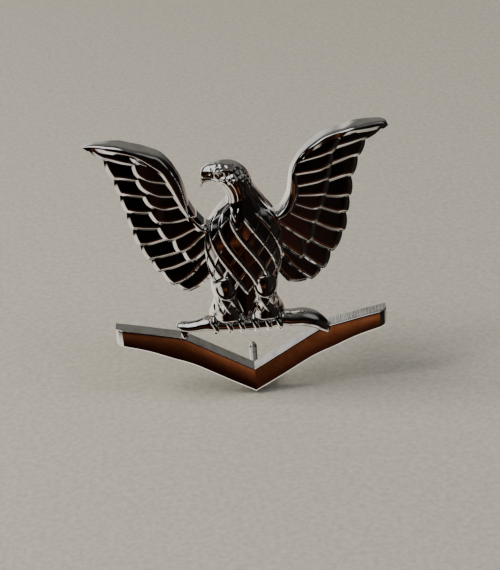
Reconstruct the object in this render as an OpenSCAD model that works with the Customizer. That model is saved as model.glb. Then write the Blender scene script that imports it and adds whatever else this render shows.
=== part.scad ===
// Eagle and chevron ornament: a chromed eagle standing on a perch rod that is brazed across a
// chevron bar, with two plain posts on the back and a spring clutch on the upper post.
// Frame: +Z up, the front faces -Y, the flat back lies in the plane y = 0. The origin is where
// the axis of the lower post meets that plane. Left and right are as seen from the front.

/* [Chevron] */
// Length of the bar from end to end
chevron_span = 36.2; // [30:0.2:44]
// Thickness of the bar, back to crown
chevron_thick = 2.2; // [1.6:0.1:3.2]
// Height of the band at the point of the V
chevron_band = 3.75; // [3:0.05:4.6]
// Height of the V, inner corner to the bend of each arm
chevron_rise = 5.5; // [4:0.1:7]

/* [Eagle] */
// Reach of a wing, from the middle of the eagle to the wing tip
wing_reach = 19.5; // [16:0.1:24]
// Height of the eagle, perch axis to crown
eagle_height = 24.2; // [20:0.1:30]
// Width of the breast
breast_width = 10; // [8:0.1:12]
// Depth of the breast in front of the back plane
breast_depth = 5.6; // [4:0.1:7]
// How far the eagle's middle stands left of the chevron's point
eagle_offset = 0.5; // [0:0.1:1]
// Thickness of the wing behind its feathers
wing_plate = 1.5; // [1:0.1:2.2]
// Height of one layer of feathers above what it lies on
feather_lift = 0.4; // [0.2:0.05:0.7]

/* [Perch] */
// Radius of the rod where the talons grip it
rod_radius = 0.8; // [0.6:0.01:1]
// Half of the rod's length
rod_reach = 9.2; // [7.5:0.1:11]

/* [Posts] */
// Radius of a post
post_radius = 0.55; // [0.45:0.01:0.8]
// Length of a post behind the back plane
post_length = 7.3; // [6:0.1:9]
// Distance between the two posts
post_spacing = 19; // [15:0.1:23]

/* [Clutch] */
// Radius of the clutch's base disc
clutch_radius = 5.4; // [4:0.1:7]
// Thickness of the sheet that the clutch is pressed from
clutch_sheet = 0.35; // [0.25:0.05:0.5]
// Width of an ear
ear_width = 3; // [2:0.1:3.6]

/* [Hidden] */
$fn = 48;

// ---- curves ----

// Catmull-Rom blend of four neighbouring points
function blend4(a, b, c, d, t) =
    0.5 * (2 * b + (c - a) * t + (2 * a - 5 * b + 4 * c - d) * t * t
           + (3 * b - a - 3 * c + d) * t * t * t);

// Smooth curve through the points p, in n steps from each point to the next
function spline(p, n) = concat(
    [for (i = [0 : len(p) - 2], j = [0 : n - 1])
        blend4(p[max(i - 1, 0)], p[i], p[i + 1], p[min(i + 2, len(p) - 1)], j / n)],
    [p[len(p) - 1]]);

scallop_lean = 0.6;     // where an edge bulges most, as a share of the way to its end

// Curved edge from a to b that bulges to the right by the given share of its length
function scallop(a, b, bulge, n) =
    let (side = [b.y - a.y, a.x - b.x] * -bulge,
         control = a * (1 - scallop_lean) + b * scallop_lean + side)
    [for (i = [0 : n - 1]) let (t = i / n)
        a * (1 - t) * (1 - t) + control * 2 * t * (1 - t) + b * t * t];

// Skin over rings of equal length, with a flat cap on the first and the last
module skin(rings) {
    n = len(rings[0]);
    last = len(rings) - 1;
    points = [for (ring = rings) each ring];
    sides = [for (i = [0 : last - 1], j = [0 : n - 1])
        [i * n + j, i * n + (j + 1) % n, (i + 1) * n + (j + 1) % n, (i + 1) * n + j]];
    caps = [[for (j = [n - 1 : -1 : 0]) j], [for (j = [0 : n - 1]) last * n + j]];
    polyhedron(points, concat(sides, caps));
}

// Solid of a drawing in the plane of the front view, between two depths in front of the back
module slab(from, to) {
    translate([0, -from, 0]) rotate([90, 0, 0]) linear_extrude(to - from) children();
}

// ---- chevron ----

chevron_half = chevron_span / 2;
bend_x = chevron_half / 2;
point_drop = 2.35;  // the point of the V lies this far below the lower post's axis
inner_z = chevron_band - point_drop;
end_rise = 2.05;    // rise of the upper edge from the bend to the end
end_band = 2.7;     // height of the band at an end
taper_start = 0.4;  // share of the arm from which the band narrows
taper_power = 1.4;  // over 1, the band narrows slowly at first
crown = 0.3;        // height of the crowned face over its edges
crown_places = [0.12, 0.35, 0.65, 0.88];    // across the face, from its lower edge
crown_power = 4;    // the larger, the flatter the middle of the face
end_hip = 0.7;      // length of the sloping facet at an end
end_shrink = 0.25;  // how much lower and thinner the end face is
arm_steps = 10;

// Height of the bar's upper edge at x, straight from the V to the bend and straighter beyond it
function chevron_top(x) =
    abs(x) < bend_x ? inner_z + chevron_rise * abs(x) / bend_x
                    : inner_z + chevron_rise + end_rise * (abs(x) - bend_x) / (chevron_half - bend_x);

// Height of the band at x, which narrows towards the ends
function band_at(x) =
    let (share = max(0, abs(x) / chevron_half - taper_start) / (1 - taper_start))
    chevron_band - (chevron_band - end_band) * pow(share, taper_power);

// One upright section of the bar, crowned in front, shrunk by the given amount all round
function chevron_section(x, shrink) =
    let (top = chevron_top(x) - shrink, low = chevron_top(x) - band_at(x) + shrink,
         face = chevron_thick - crown - shrink / 2)
    [[x, 0, top], [x, 0, low], [x, -face, low],
     for (t = crown_places)
         [x, -face - crown * (1 - pow(2 * t - 1, crown_power)), low + (top - low) * t],
     [x, -face, top]];

module chevron_bar() {
    arm = [for (i = [1 : arm_steps]) (chevron_half - end_hip) * i / arm_steps];
    xs = [for (i = [len(arm) - 1 : -1 : 0]) -arm[i], 0, each arm];
    color("silver") skin([
        chevron_section(-chevron_half, end_shrink),
        for (x = xs) chevron_section(x, 0),
        chevron_section(chevron_half, end_shrink)]);
}

// ---- perch ----

rod_lift = 1.55;    // height of the perch line over the bar, at the ends of the rod
perch_z = chevron_top(rod_reach) + rod_lift;
rod_rise = 0.1;     // height of the gripped middle over the perch line
rod_depth = 2.3;    // depth of the gripped middle in front of the back plane
end_depth = 1.8;    // depth of the thick ends
end_radius = rod_radius * 1.2;
rod_oval = 1.2;     // depth of the rod over its height
grip = 4.9;         // half length of the even stretch that the talons grip
rod_sides = 12;
solder_sink = 0.4;  // how deep the solder's foot lies behind the rod and in the bar
foot_share = 0.9;   // radius of the solder's foot over that of its head

// Places along the rod's axis, each [x, height above the perch line, depth, radius]
rod_drawing = [
    [-rod_reach - 0.25, 0.15, end_depth, end_radius * 0.45],
    [-rod_reach + 0.4, 0.15, end_depth, end_radius * 0.85],
    [-rod_reach + 1.9, 0.35, end_depth, end_radius * 0.95],
    [-rod_reach + 3.2, 0.4, rod_depth, end_radius],
    [-grip, rod_rise, rod_depth, rod_radius],
    [grip, rod_rise, rod_depth, rod_radius],
    [rod_reach - 3.2, 0.45, rod_depth, end_radius * 1.1],
    [rod_reach - 2.4, 0.45, end_depth, end_radius * 1.15],
    [rod_reach - 1.3, 0.15, end_depth, end_radius * 1.15],
    [rod_reach - 0.1, -0.5, end_depth, end_radius * 0.9]];

// Ring of the rod around one place of the drawing, square to the curve
function rod_ring(p, direction) =
    let (across = [-direction.y, direction.x] / norm(direction))
    [for (k = [0 : rod_sides - 1]) let (a = -360 * k / rod_sides)
        [p.x + across.x * p[3] * cos(a), -p.z - p[3] * rod_oval * sin(a),
         perch_z + p.y + across.y * p[3] * cos(a)]];

module rod() {
    curve = spline(rod_drawing, 3);
    last = len(curve) - 1;
    skin([for (i = [0 : last])
        let (step = curve[min(i + 1, last)] - curve[max(i - 1, 0)])
        rod_ring(curve[i], [step.x, step.y])]);
}

// Drops of solder, each [place on the rod, place on the bar, radius]
solder_drawing = [[-rod_reach + 0.6, -rod_reach + 0.5, 0.72],
                  [rod_reach - 0.5, rod_reach + 0.4, 0.8]];

// Solder between a place on the rod and the bar's upper face below it
module solder(rod_x, foot_x, r) {
    hull() {
        translate([rod_x, -end_depth, perch_z]) sphere(r, $fn = 14);
        translate([foot_x, -end_depth + solder_sink, chevron_top(foot_x) - solder_sink])
            sphere(r * foot_share, $fn = 14);
    }
}

module perch_rod() {
    color("silver") difference() {
        union() {
            rod();
            for (drop = solder_drawing) solder(drop[0], drop[1], drop[2]);
        }
        chevron_bar();
    }
}

// ---- eagle body ----

// The eagle is drawn 10 wide over the breast, 24.2 high and 5.6 deep, then scaled
width_scale = breast_width / 10;
height_scale = eagle_height / 24.2;
depth_scale = breast_depth / 5.6;

// Sections of the trunk, belly to crown, each [height above perch, middle, half width, depth]
trunk_drawing = [
    [1.0, 0.0, 1.3, 2.2], [2.6, 0.1, 2.2, 2.6], [5.0, 0.2, 3.6, 3.4], [7.4, 0.25, 4.45, 4.5],
    [9.8, 0.3, 4.75, 5.3], [12.4, 0.3, 5.0, 5.6], [14.4, 0.4, 4.9, 5.5], [16.3, 0.5, 4.35, 5.2],
    [17.6, 0.55, 3.45, 4.9], [18.8, 0.5, 2.55, 4.7], [20.2, 0.4, 1.98, 4.6],
    [21.6, 0.1, 2.05, 4.8], [22.8, -0.35, 1.95, 4.9], [23.7, -0.7, 1.35, 4.3],
    [24.2, -0.9, 0.5, 3.4]];
arc_steps = 12;
flank_depth = 2.5;  // depth of the upright flanks, where the wings are brazed on
flank_share = 0.7;  // the flanks of a shallow section take this share of its depth
arch_power = 0.8;   // below 1, the arch between the flanks is fuller than an oval
trunk_sections = spline(trunk_drawing, 2);

// Place in the frame of a drawing point [x from the eagle's middle, height above the perch]
function at_eagle(x, h) = [x * width_scale - eagle_offset, perch_z + h * height_scale];

// Section of the trunk: upright flanks that stand on the back plane, and an arch between them
function trunk_ring(s) =
    let (place = at_eagle(s[1], s[0]), half = s[2] * width_scale,
         depth = s[3] * depth_scale, flank = min(flank_depth, depth * flank_share))
    [[place.x + half, 0, place.y],
     for (k = [0 : arc_steps]) let (a = 180 * k / arc_steps)
        [place.x + half * cos(a), -flank - (depth - flank) * pow(sin(a), arch_power), place.y],
     [place.x - half, 0, place.y]];

module trunk() {
    skin([for (s = trunk_sections) trunk_ring(s)]);
}

// Outline of the trunk's flanks in the front view
module trunk_outline() {
    last = len(trunk_sections) - 1;
    right = [for (i = [0 : last]) let (s = trunk_sections[i]) at_eagle(s[1] + s[2], s[0])];
    left = [for (i = [last : -1 : 0]) let (s = trunk_sections[i]) at_eagle(s[1] - s[2], s[0])];
    polygon(concat(right, left));
}

// Ball at a drawing point [x, height above the perch, depth, radius]
module ball(p) {
    place = at_eagle(p.x, p.y);
    translate([place.x, -p.z * depth_scale, place.y]) sphere(p[3] * width_scale, $fn = 16);
}

// Limb that is skinned from one ball of a drawing to the next
module limb(drawing) {
    for (i = [0 : len(drawing) - 2])
        hull() {
            ball(drawing[i]);
            ball(drawing[i + 1]);
        }
}

// Head, brow and hooked beak, turned to the left
head_drawing = [[-0.9, 22.6, 3, 1.75], [-2.5, 22.7, 2.9, 1.1], [-3.9, 23, 2.8, 0.78],
                [-4.5, 22.2, 2.7, 0.42], [-4.6, 21.4, 2.7, 0.2]];
// Thigh and shank of the right leg; the left leg mirrors it
leg_drawing = [[2.5, 6.0, 3.1, 1.75], [2.7, 4.4, 2.6, 1.6], [2.75, 2.2, 2.4, 1.35]];

toe_places = [0.95, 2.65, 4.25];
toe_radius = 0.3;
toe_stand = 0.25;   // a toe's middle stands off the rod by this share of its radius
toe_start = 170;    // angle at which a toe meets the rod, behind its top
toe_wrap = 230;     // angle that a toe covers round the rod
root_radius = toe_radius * 1.5;

// Toe that grips the rod from above, in front and below
module toe(x) {
    place = at_eagle(x, 0);
    translate([place.x, -rod_depth, perch_z + rod_rise]) rotate([0, 90, 0])
        rotate([0, 0, toe_start])
        rotate_extrude(angle = toe_wrap, $fn = 20)
            translate([rod_radius + toe_radius * toe_stand, 0]) circle(toe_radius, $fn = 10);
}

// Ball on top of the rod, from which a toe starts
module toe_root(x) {
    translate([at_eagle(x, 0).x, -rod_depth, perch_z + rod_rise + rod_radius + toe_radius])
        sphere(root_radius, $fn = 16);
}

// Thigh, shank and the three toes of one foot
module leg(side) {
    drawing = [for (p = leg_drawing) [side * p.x, p.y, p.z, p[3]]];
    limb(drawing);
    for (x = toe_places) {
        hull() {
            ball(drawing[len(drawing) - 1]);
            toe_root(side * x);
        }
        toe(side * x);
    }
}

module eagle_body() {
    color("silver") difference() {
        union() {
            trunk();
            limb(head_drawing);
            leg(-1);
            leg(1);
        }
        rod();
    }
}

// ---- wings ----

// Drawing of a wing, from the eagle's middle outwards and from the perch upwards.
// Upper edge from the shoulder, round the crook, to the tip
edge_drawing = [[2.5, 14.8], [4.4, 15.4], [5.8, 16.9], [6.4, 19.0], [7.1, 21.6], [8.5, 24.0],
                [11, 25.95], [14.4, 27.1], [17.4, 27.6], [19.5, 27.0]];
// Lower edge of the thick leading edge, from the shoulder to the tip
ridge_drawing = [[2.5, 14.0], [5.0, 14.4], [6.4, 15.9], [7.3, 18.0], [8.0, 20.5], [9.0, 22.8],
                 [11, 24.6], [14.4, 26.0], [17.4, 26.6], [19.2, 26.8]];
// Outer end of the line between one long feather and the next, from the tip down
quill_tips = [[19.5, 26.8], [17.05, 24.9], [15.85, 22.6], [15.2, 20.2], [14.45, 17.75],
              [14.05, 15.1], [13.3, 12.85], [12.05, 10.2], [10.7, 7.9], [8.9, 6.2], [6.3, 5.2]];
// Outer end of the line between one short feather and the next, from the ridge down
cover_tips = [[13.4, 25.5], [13.1, 23.8], [12.95, 22.0], [12.4, 19.7], [11.6, 17.4],
              [10.6, 14.9], [9.2, 12.9], [8.4, 11.0], [6.9, 8.9]];

// A wing is drawn with a reach of 19.5, then scaled
reach_scale = wing_reach / 19.5;
wing_offset = eagle_offset / 2;   // the wings' middle lies between the body's and the V's point
root_x = 2.5;         // the layers run under the breast to here
quill_front = wing_plate + feather_lift;
cover_front = quill_front + feather_lift;
cover_limit = 14;     // the short feathers stop here
ridge_height = 0.9;   // height of the leading edge over the short feathers
ridge_share = 0.45;   // where the leading edge is narrow, its height over its width
ridge_power = 0.5;    // below 1, the leading edge is fuller than an arch
ridge_inset = 0.1;
ridge_steps = 6;
plate_bulge = 0.22;   // rounding of the feather ends, as a share of their width
quill_bulge = 0.19;
cover_bulge = 0.2;

// Places in the frame of the points of a wing's drawing
function at_wing(points, side) =
    [for (p = points) [side * p.x * reach_scale - wing_offset, perch_z + p.y * height_scale]];

// Chain of rounded feather ends through the given tips
function feather_ends(tips, bulge) = concat(
    [for (i = [0 : len(tips) - 2]) each scallop(tips[i], tips[i + 1], bulge, 4)],
    [tips[len(tips) - 1]]);

// Thick rounded leading edge, swept from the shoulder to the tip
module leading_edge(side) {
    upper = spline(edge_drawing, 2);
    lower = spline(ridge_drawing, 2);
    root_y = -wing_plate / 2;
    skin([for (i = [1 : len(upper) - 1])
        let (across = lower[i] - upper[i], inset = across * ridge_inset / norm(across),
             ends = at_wing([upper[i] + inset, lower[i]], side),
             rise = cover_front + root_y + min(ridge_height, norm(across) * ridge_share),
             ring = [for (k = [0 : ridge_steps])
                 let (t = k / ridge_steps, p = ends[0] * (1 - t) + ends[1] * t)
                 [p.x, root_y - rise * pow(sin(180 * t), ridge_power), p.y]])
        side > 0 ? [for (k = [ridge_steps : -1 : 0]) ring[k]] : ring]);
}

// Layers of one wing: plate, long feathers, short feathers and leading edge
module wing_shape(side) {
    ridge = spline(ridge_drawing, 2);
    slab(0, wing_plate) polygon(at_wing(concat(
        spline(edge_drawing, 2), feather_ends(quill_tips, plate_bulge), [[root_x, 8.5]]), side));
    slab(wing_plate / 2, quill_front) polygon(at_wing(concat(
        feather_ends(quill_tips, quill_bulge), [[root_x, 9]], ridge), side));
    slab(wing_plate / 2, cover_front) polygon(at_wing(concat(
        feather_ends(cover_tips, cover_bulge), [[root_x, 10]],
        [for (p = ridge) if (p.x < cover_limit) p]), side));
    leading_edge(side);
}

// Wing on one side of the eagle, cut to the flank of the trunk that it is brazed to
module wing(side) {
    color("silver") difference() {
        wing_shape(side);
        slab(-1, 2 * breast_depth) trunk_outline();
    }
}

// ---- posts ----

groove_depth = 0.15;
groove_width = 0.6;
groove_land = 0.5;  // straight stretch between the groove and the tip
tip_length = 0.9;
// Rounding of the tip, each [radius, distance] as shares of the post's radius and tip_length
tip_drawing = [[0.72, 0.6], [0.3, 1]];

// Straight post with a V-shaped catch groove near its rounded tip, standing out of the back
module post(z) {
    shoulder = post_length - tip_length;
    groove_end = shoulder - groove_land;
    groove_start = groove_end - groove_width;
    color("gainsboro") translate([0, 0, z]) rotate([-90, 0, 0]) rotate_extrude()
        polygon([[0, 0], [post_radius, 0], [post_radius, groove_start],
                 [post_radius - groove_depth, groove_start + groove_width / 2],
                 [post_radius, groove_end], [post_radius, shoulder],
                 for (p = tip_drawing) [post_radius * p.x, shoulder + tip_length * p.y],
                 [0, post_length]]);
}

module lower_post() { post(0); }
module upper_post() { post(post_spacing); }

// ---- clutch ----

clutch_gap = 0.3;        // room for cloth between the back plane and the disc
post_clearance = 0.07;   // running clearance round the post
post_hole = post_radius + post_clearance;
rim_height = 0.9;
rim_roll = 0.6;          // width of the rolled rim
rim_turn = 0.5;          // height at which the rolled rim stands upright
rim_fillet = 0.45;       // rounding inside the rim
hub_radius = 2.1;
hub_height = 4.4;
cap_length = 0.9;        // how far the closed cap reaches past the post
cap_foot = 0.8;          // radii of the cap at its foot and its end, over the hub's radius
cap_end = 0.45;
cap_wall = 0.5;          // room between the post's end and the end of its hole
base_y = clutch_gap;
hub_y = base_y + clutch_sheet;
hub_length = post_length - hub_y;
slot_low = hub_y + 0.7;  // the slots for the ears, and the ears in them
slot_high = hub_y + 3.3;
ear_y = hub_y + 2.4;
knuckle_radius = 0.24;   // the ear's rolled bead, which turns in the mouth of the slot
ear_pivot = hub_radius + 0.25;
jaw_drop = 0.9;
ear_reach = clutch_radius + 1.1;
ear_clearance = 0.15;    // room beside an ear in its slot

// Places a part that is drawn along +Z on the upper post, with its +Z along the post
module on_post(distance) {
    translate([0, distance, post_spacing]) rotate([-90, 0, 0]) children();
}

// Dished disc with a rolled rim and a hole for the post
module clutch_base() {
    inner_rim = clutch_radius - clutch_sheet;
    color("goldenrod") on_post(base_y) rotate_extrude()
        polygon([[post_hole, 0], [clutch_radius - rim_roll, 0],
                 [clutch_radius - rim_roll / 6, rim_turn / 2], [clutch_radius, rim_turn],
                 [clutch_radius, rim_height], [inner_rim, rim_height],
                 [inner_rim - rim_fillet / 4, clutch_sheet + rim_fillet / 2],
                 [inner_rim - rim_fillet, clutch_sheet],
                 [post_hole, clutch_sheet]]);
}

// Closed barrel over the end of the post, slotted for the two ears
module clutch_hub() {
    slot_width = ear_width + 2 * ear_clearance;
    outside = hub_radius + 1;
    color("goldenrod") difference() {
        on_post(hub_y) difference() {
            union() {
                cylinder(hub_height, r = hub_radius);
                translate([0, 0, hub_height])
                    cylinder(hub_length - hub_height + cap_length, r1 = hub_radius * cap_foot,
                             r2 = hub_radius * cap_end);
            }
            translate([0, 0, -1]) cylinder(hub_length + 1 + cap_length - cap_wall, r = post_hole);
        }
        translate([-outside, slot_low, post_spacing - slot_width / 2])
            cube([2 * outside, slot_high - slot_low, slot_width]);
    }
}

// Spring ear: a jaw inside the hub that stands lower than the hinge line at the hub's wall, a
// flat stretch, and a tip that is turned up for the finger. A rolled bead lies on the hinge line.
module ear(side) {
    jaw = post_radius + 0.1;
    turn_x = clutch_radius - 0.9;
    drawing = [
        [jaw, -jaw_drop], [jaw + 0.4, -jaw_drop], [jaw + 0.9, 0], [ear_pivot, 0],
        [turn_x, 0.1], [turn_x + 0.9, 0.8], [ear_reach, 2.4], [ear_reach - 0.35, 2.55],
        [turn_x + 0.6, 1.1], [turn_x - 0.1, clutch_sheet + 0.1], [ear_pivot, clutch_sheet],
        [jaw + 0.7, clutch_sheet], [jaw + 0.15, clutch_sheet - jaw_drop],
        [jaw, clutch_sheet - jaw_drop]];
    color("gold") translate([0, ear_y, post_spacing - ear_width / 2]) union() {
        linear_extrude(ear_width) polygon([for (p = drawing) [side * p.x, p.y]]);
        translate([side * ear_pivot, clutch_sheet / 2, 0]) cylinder(ear_width, r = knuckle_radius);
    }
}

module left_ear() { ear(-1); }
module right_ear() { ear(1); }

// ---- assembly ----

chevron_bar();
perch_rod();
eagle_body();
wing(-1);  // left_wing
wing(1);  // right_wing
lower_post();
upper_post();
clutch_base();
clutch_hub();
left_ear();
right_ear();
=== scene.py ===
"""Looks of the eagle and chevron ornament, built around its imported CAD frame.

Lengths in the drawings are millimetres in the row's frame: +Z up, the front faces -Y and the
flat back lies in the plane y = 0. Meshes are turned into metres as they are made.
"""

import logging
import math
from dataclasses import dataclass, field
from enum import Enum

import bpy
import numpy as np
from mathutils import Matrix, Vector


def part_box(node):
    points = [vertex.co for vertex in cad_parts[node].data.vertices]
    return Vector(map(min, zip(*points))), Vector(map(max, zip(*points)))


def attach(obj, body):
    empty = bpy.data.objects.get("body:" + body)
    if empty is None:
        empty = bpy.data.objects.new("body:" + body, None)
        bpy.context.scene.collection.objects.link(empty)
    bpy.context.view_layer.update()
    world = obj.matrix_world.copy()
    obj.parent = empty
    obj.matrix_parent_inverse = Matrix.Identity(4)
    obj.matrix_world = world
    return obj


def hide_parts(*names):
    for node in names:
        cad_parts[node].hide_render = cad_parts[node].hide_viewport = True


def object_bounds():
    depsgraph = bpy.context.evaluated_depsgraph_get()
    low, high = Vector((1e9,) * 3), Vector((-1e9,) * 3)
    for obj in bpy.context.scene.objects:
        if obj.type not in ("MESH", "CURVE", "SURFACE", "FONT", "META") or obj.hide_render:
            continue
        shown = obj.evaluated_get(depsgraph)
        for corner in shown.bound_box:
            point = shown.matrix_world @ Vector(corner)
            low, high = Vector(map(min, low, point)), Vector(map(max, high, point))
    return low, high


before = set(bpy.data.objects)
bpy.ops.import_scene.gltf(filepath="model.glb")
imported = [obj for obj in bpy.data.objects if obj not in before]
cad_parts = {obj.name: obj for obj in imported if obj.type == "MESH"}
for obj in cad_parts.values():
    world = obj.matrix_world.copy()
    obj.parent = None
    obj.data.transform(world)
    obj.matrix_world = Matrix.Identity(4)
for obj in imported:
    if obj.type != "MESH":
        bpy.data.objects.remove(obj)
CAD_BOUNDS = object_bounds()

log = logging.getLogger("ornament")

MM = 0.001
BODY = "emblem"
POST_Z = 17.5  # height of the drawings' zero line above the lower post's axis


class Side(Enum):
    """Side of the eagle, as seen from the front."""

    LEFT = -1
    RIGHT = 1


# ---- curves and profiles ----


def cubic_through(points: list, t: np.ndarray) -> np.ndarray:
    """Catmull-Rom curve through a few points, read at the given numbers along it.

    Each stretch is the cubic that leaves a point along the chord between its neighbours.

    Args:
        points: The points, each a tuple of any number of coordinates.
        t: Where to read it: 0 at the first point, 1 at the second and so on.

    Returns:
        A row of coordinates for each number.
    """
    p = np.asarray(points, float)
    padded = np.vstack([2 * p[0] - p[1], p, 2 * p[-1] - p[-2]])
    i = np.minimum(t.astype(int), len(p) - 2)
    f = (t - i)[:, None]
    a, b, c, d = padded[i], padded[i + 1], padded[i + 2], padded[i + 3]
    return 0.5 * (2 * b + (c - a) * f + (2 * a - 5 * b + 4 * c - d) * f**2
                  + (3 * b - a - 3 * c + d) * f**3)


def smooth_line(points: list, count: int) -> np.ndarray:
    """Cubic through a few points, sampled at even steps of its length."""
    spans = len(points) - 1
    return even_steps(cubic_through(points, np.linspace(0, spans, 24 * spans + 1)), count)


def raised(points: list) -> list:
    """Drawing points moved up from the drawings' zero line to the row's frame."""
    return [(p[0], p[1] + POST_Z, *p[2:]) for p in points]


def surface_normals(grid: np.ndarray) -> np.ndarray:
    """Unit normals of a surface: the cross product of the two directions of its grid.

    Args:
        grid: Rows by columns by 3.

    Returns:
        Grid of unit vectors.
    """
    down = np.gradient(grid, axis=0)
    along = np.gradient(grid, axis=1)
    n = np.cross(down, along)
    return n / np.maximum(np.linalg.norm(n, axis=2, keepdims=True), 1e-9)


def bead(distance: np.ndarray, centre: float, half_width: float) -> np.ndarray:
    """Rounded raised line: a squared cosine of the distance from its middle."""
    x = np.clip((distance - centre) / half_width, -1, 1)
    return np.cos(x * math.pi / 2) ** 2


def chamfer(share: np.ndarray) -> np.ndarray:
    """Straight rise from 0 to 1 that eases into the level over its last quarter."""
    t = np.clip(share, 0, 1.25)
    return np.where(t < 0.75, t, 1 - (1.25 - t) ** 2)


def round_over(distance: np.ndarray, radius: float) -> np.ndarray:
    """Quarter circle that rises from 0 at an edge to 1 at radius away from it."""
    x = np.clip(distance / radius, 0, 1)
    return np.sqrt(np.maximum(1 - (1 - x) ** 2, 0))


def fade_between(z: np.ndarray, low: tuple, high: tuple) -> np.ndarray:
    """Share that is 1 between two heights and falls evenly to 0 at each of them.

    Args:
        z: Heights.
        low: Lower height, and the width over which the share grows above it.
        high: Upper height, and the width over which the share falls below it.

    Returns:
        The shares.
    """
    return np.clip((z - low[0]) / low[1], 0, 1) * np.clip((high[0] - z) / high[1], 0, 1)


def even_steps(line: np.ndarray, count: int) -> np.ndarray:
    """Points at even steps of length along a line of straight stretches.

    Args:
        line: Rows of places.
        count: How many points.

    Returns:
        Rows of places.
    """
    length = np.concatenate([[0], np.cumsum(np.linalg.norm(np.diff(line, axis=0), axis=1))])
    wanted = np.linspace(0, length[-1], count)
    return np.stack([np.interp(wanted, length, line[:, k]) for k in range(line.shape[1])], 1)


def softened(line: np.ndarray, width: int) -> np.ndarray:
    """Line with rounded corners: the running mean of its points, with its ends kept.

    Args:
        line: Rows of places.
        width: How many points the mean takes, an odd number.

    Returns:
        Rows of places.
    """
    ends = np.pad(line, ((width // 2, width // 2), (0, 0)), "edge")
    soft = np.mean([ends[k:k + len(line)] for k in range(width)], axis=0)
    soft[0], soft[-1] = line[0], line[-1]
    return soft


def distance_to(line: np.ndarray, points: np.ndarray) -> np.ndarray:
    """Distance of each point from a line: the least distance to any of its stretches.

    Args:
        line: Rows of places.
        points: Grid of places.

    Returns:
        Grid of distances.
    """
    start, step = line[:-1], np.diff(line, axis=0)
    away = points[..., None, :] - start
    share = np.clip((away * step).sum(-1) / np.maximum((step**2).sum(-1), 1e-12), 0, 1)
    return np.linalg.norm(away - share[..., None] * step, axis=-1).min(-1)


def near_edge(total: float, count: int, fine: float) -> np.ndarray:
    """Distances from an edge, close together near it: fine steps that grow to the total."""
    t = np.linspace(0, 1, count)
    return total * (fine * t + (1 - fine) * t**2.2)


# ---- meshes ----


class Shell:
    """Closed mesh that is put together from grids of points, in millimetres."""

    def __init__(self) -> None:
        """Starts empty."""
        self.points: list[np.ndarray] = []
        self.faces: list[list[int]] = []
        self.slots: list[int] = []
        self.count = 0

    def _add(self, points: np.ndarray, quads: np.ndarray, caps: list[np.ndarray],
             slots: np.ndarray | int) -> None:
        """Adds one closed surface, turned so that its faces point outwards.

        The signed volume is the sum over the triangles of a . (b x c) / 6, and a negative one
        means that the surface is inside out.

        Args:
            points: Rows of coordinates.
            quads: Rows of four indices.
            caps: Loops of indices that close the ends.
            slots: Material slot of the quads, one number or one for each.
        """
        fans = [np.stack([np.full(len(c) - 2, c[0]), c[1:-1], c[2:]], 1) for c in caps]
        triangles = np.vstack([quads[:, [0, 1, 2]], quads[:, [0, 2, 3]], *fans])
        a, b, c = (points[triangles[:, k]] for k in range(3))
        volume = np.einsum("ij,ij->i", a, np.cross(b, c)).sum()
        if volume < 0:
            quads = quads[:, ::-1]
            caps = [cap[::-1] for cap in caps]
        self.points.append(points)
        self.faces += (quads + self.count).tolist()
        self.faces += [(cap + self.count).tolist() for cap in caps]
        self.slots += np.broadcast_to(slots, len(quads)).tolist() + [0] * len(caps)
        self.count += len(points)

    def relief(self, front: np.ndarray, back_y: float = 0.0) -> None:
        """Adds a solid with a shaped front and a flat back.

        The walls drop from the rim of the front grid straight back to the plane y = back_y.

        Args:
            front: Grid of points, rows by columns by 3.
            back_y: Depth of the flat back.
        """
        rows, columns = front.shape[:2]
        index = np.arange(rows * columns).reshape(rows, columns)
        quads = np.stack([index[:-1, :-1], index[:-1, 1:], index[1:, 1:], index[1:, :-1]], -1)
        rim = np.concatenate([index[0, :-1], index[:-1, -1], index[-1, :0:-1], index[:0:-1, 0]])
        flat = front.reshape(-1, 3)
        back = flat[rim].copy()
        back[:, 1] = back_y
        behind = np.arange(len(rim)) + len(flat)
        walls = np.stack([np.roll(rim, -1), rim, behind, np.roll(behind, -1)], 1)
        self._add(np.vstack([flat, back]), np.vstack([quads.reshape(-1, 4), walls]),
                  [behind[::-1]], 0)

    def tube(self, rings: np.ndarray, slots: np.ndarray | int = 0) -> None:
        """Adds a solid skinned over rings of points, closed at both ends.

        Args:
            rings: Grid of points, ring by place round the ring by 3.
            slots: Material slot, one number or one for each place round the ring.
        """
        rows, columns = rings.shape[:2]
        index = np.arange(rows * columns).reshape(rows, columns)
        after = np.roll(index, -1, axis=1)
        quads = np.stack([index[:-1], after[:-1], after[1:], index[1:]], -1)
        if not np.isscalar(slots):
            slots = np.broadcast_to(slots, (rows - 1, columns)).reshape(-1)
        self._add(rings.reshape(-1, 3), quads.reshape(-1, 4), [index[0][::-1], index[-1]], slots)

    def build(self, name: str, body: str, slot: str, materials: list,
              sharp: float = 38.0) -> bpy.types.Object:
        """Makes the Blender object, which rides on a CAD body.

        Args:
            name: Name of the piece.
            body: CAD body that it moves with.
            slot: Name of a material slot of the record; not used.
            materials: Blender materials, in the order of the slots.
            sharp: Angle between two faces, in degrees, from which their edge stays sharp.

        Returns:
            The object.
        """
        mesh = bpy.data.meshes.new(name)
        mesh.from_pydata((np.vstack(self.points) * MM).tolist(), [], self.faces)
        for material in materials:
            mesh.materials.append(material)
        mesh.polygons.foreach_set("material_index", np.array(self.slots, np.int32))
        mesh.shade_smooth()
        mesh.set_sharp_from_angle(angle=math.radians(sharp))
        mesh.validate()
        mesh.update()
        piece = bpy.data.objects.new(name, mesh)
        bpy.context.scene.collection.objects.link(piece)
        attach(piece, body)
        log.info("%s: %d faces on %s", name, len(mesh.polygons), body)
        return piece


# ---- finishes ----


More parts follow.
